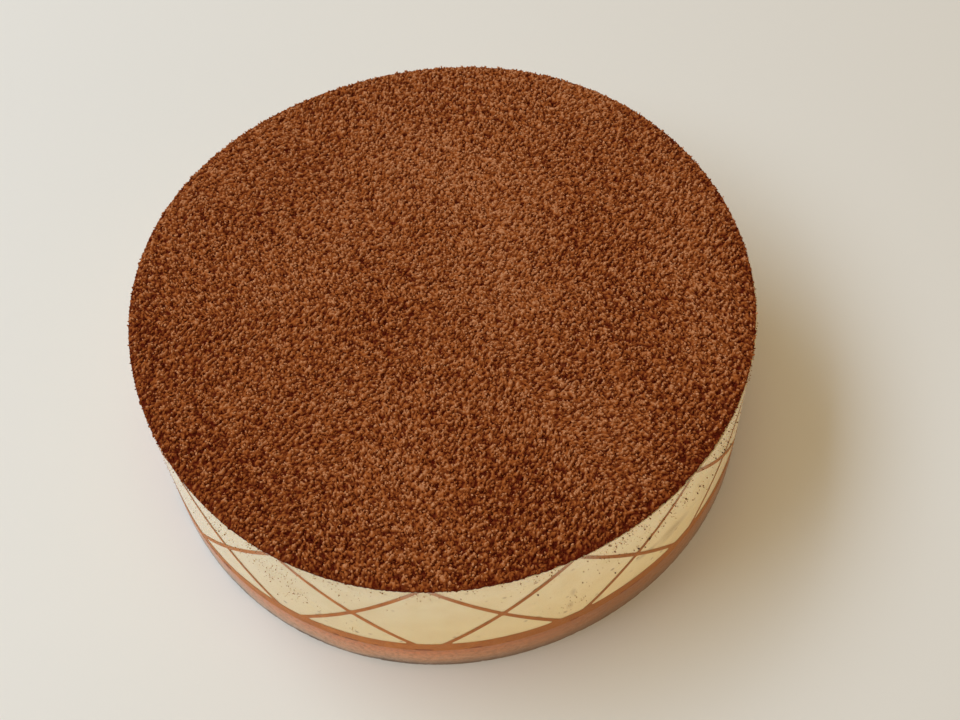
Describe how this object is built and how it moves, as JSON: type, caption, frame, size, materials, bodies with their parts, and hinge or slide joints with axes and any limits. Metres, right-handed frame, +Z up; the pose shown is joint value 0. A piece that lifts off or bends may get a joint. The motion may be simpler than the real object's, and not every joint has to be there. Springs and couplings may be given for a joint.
{
  "type": "tiramisu cake",
  "caption": "Whole round tiramisu mousse cake: coffee sponge under mascarpone cream, in a clear printed collar, sifted with coarse cocoa to the edge.",
  "frame": {"origin": "middle of the flat underside of the sponge, where the cake stands", "axes": "+Z up through the cocoa top, -Y towards the front of the cake as pictured"},
  "size_m": [0.2033, 0.2042, 0.0592],
  "materials": {
    "coffee_sponge": "damp brown sponge with an open crumb",
    "mascarpone_cream": "smooth ivory set cream, soft satin",
    "clear_film": "clear glossy acetate film",
    "brown_print": "brown lattice printed on the film",
    "sifted_cocoa": "dull coarse cocoa in small clumped grains"
  },
  "bodies": {
    "root": {"sponge_base": "coffee_sponge", "mascarpone_cream": "mascarpone_cream", "collar_film": "clear_film", "collar_print": "brown_print", "cocoa_top": "sifted_cocoa"}
  },
  "joints": []
}
